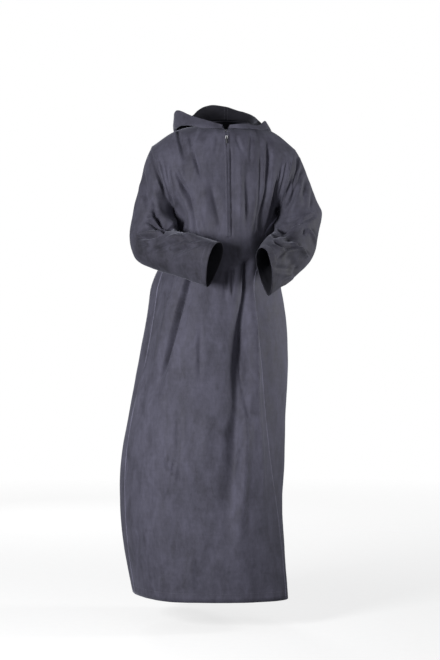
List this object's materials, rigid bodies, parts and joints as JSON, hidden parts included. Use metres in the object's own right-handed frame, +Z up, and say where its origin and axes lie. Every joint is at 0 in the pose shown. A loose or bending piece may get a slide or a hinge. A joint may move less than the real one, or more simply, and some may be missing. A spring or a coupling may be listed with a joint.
{
  "type": "hooded thobe robe",
  "caption": "Ankle-length hooded robe in its worn form, hollow, with a short front zip and long sleeves held forward.",
  "frame": {"origin": "middle of the neck opening at shoulder height, where the wearer's neck and shoulders carry the robe", "axes": "+Z up along the wearer's spine, -Y out of the robe's front, +X to the wearer's left"},
  "size_m": [0.6048, 0.5402, 1.4755],
  "materials": {
    "front_panel": "matte",
    "back_panel": "matte",
    "sleeve_right": "matte",
    "sleeve_left": "matte",
    "hood_right": "matte",
    "hood_left": "matte",
    "zip_lip_right": "matte",
    "zip_lip_left": "matte",
    "zip_chain": "matte",
    "zip_slider": "satin",
    "zip_pull": "satin"
  },
  "bodies": {
    "robe": {"front_panel": "front_panel", "back_panel": "back_panel", "sleeve_right": "sleeve_right", "sleeve_left": "sleeve_left", "hood_right": "hood_right", "hood_left": "hood_left", "zip_lip_right": "zip_lip_right", "zip_lip_left": "zip_lip_left", "zip_chain": "zip_chain", "zip_slider": "zip_slider"},
    "pull_tab": {"zip_pull": "zip_pull"}
  },
  "joints": [
    {"name": "pull_hinge", "type": "hinge", "parent": "robe", "child": "pull_tab", "pos_m": [0.00115, -0.11682, -0.03995], "axis": [-1, 0, 0], "range_deg": [0, 140]}
  ]
}
